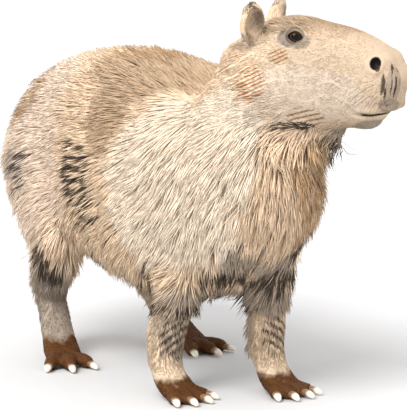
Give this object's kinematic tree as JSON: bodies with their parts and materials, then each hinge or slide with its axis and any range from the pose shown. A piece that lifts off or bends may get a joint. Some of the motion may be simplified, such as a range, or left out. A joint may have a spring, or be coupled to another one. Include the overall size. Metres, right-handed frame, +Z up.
{
  "type": "capybara",
  "caption": "Life-size standing capybara, a still museum-style model with its head turned to its left, on four feet with splayed, clawed toes and a coarse, tufted coat.",
  "frame": {"origin": "on the floor, under the middle of the whole model's bounding box", "axes": "+X the way the body faces, +Y to the animal's left, +Z up"},
  "size_m": [0.9954, 0.417, 0.691],
  "materials": {
    "coat": "coarse tan hair",
    "foot_skin": "dark brown skin with short hair",
    "ear_skin": "dark grey-brown skin",
    "eye": "wet gloss",
    "claw": "smooth horn"
  },
  "bodies": {
    "root": {"claw_forefoot_left_1": "claw", "claw_forefoot_left_2": "claw", "claw_forefoot_left_3": "claw", "claw_forefoot_left_4": "claw", "claw_forefoot_right_1": "claw", "claw_forefoot_right_2": "claw", "claw_forefoot_right_3": "claw", "claw_forefoot_right_4": "claw", "claw_hindfoot_left_1": "claw", "claw_hindfoot_left_2": "claw", "claw_hindfoot_left_3": "claw", "claw_hindfoot_right_1": "claw", "claw_hindfoot_right_2": "claw", "claw_hindfoot_right_3": "claw", "ear_left": "ear_skin", "ear_right": "ear_skin", "eye_left": "eye", "eye_right": "eye", "forefoot_left": "foot_skin", "forefoot_right": "foot_skin", "foreleg_left": "coat", "foreleg_right": "coat", "head": "coat", "hindfoot_left": "foot_skin", "hindfoot_right": "foot_skin", "neck": "coat", "shank_left": "coat", "shank_right": "coat", "thigh_left": "coat", "thigh_right": "coat", "torso": "coat"}
  },
  "joints": []
}
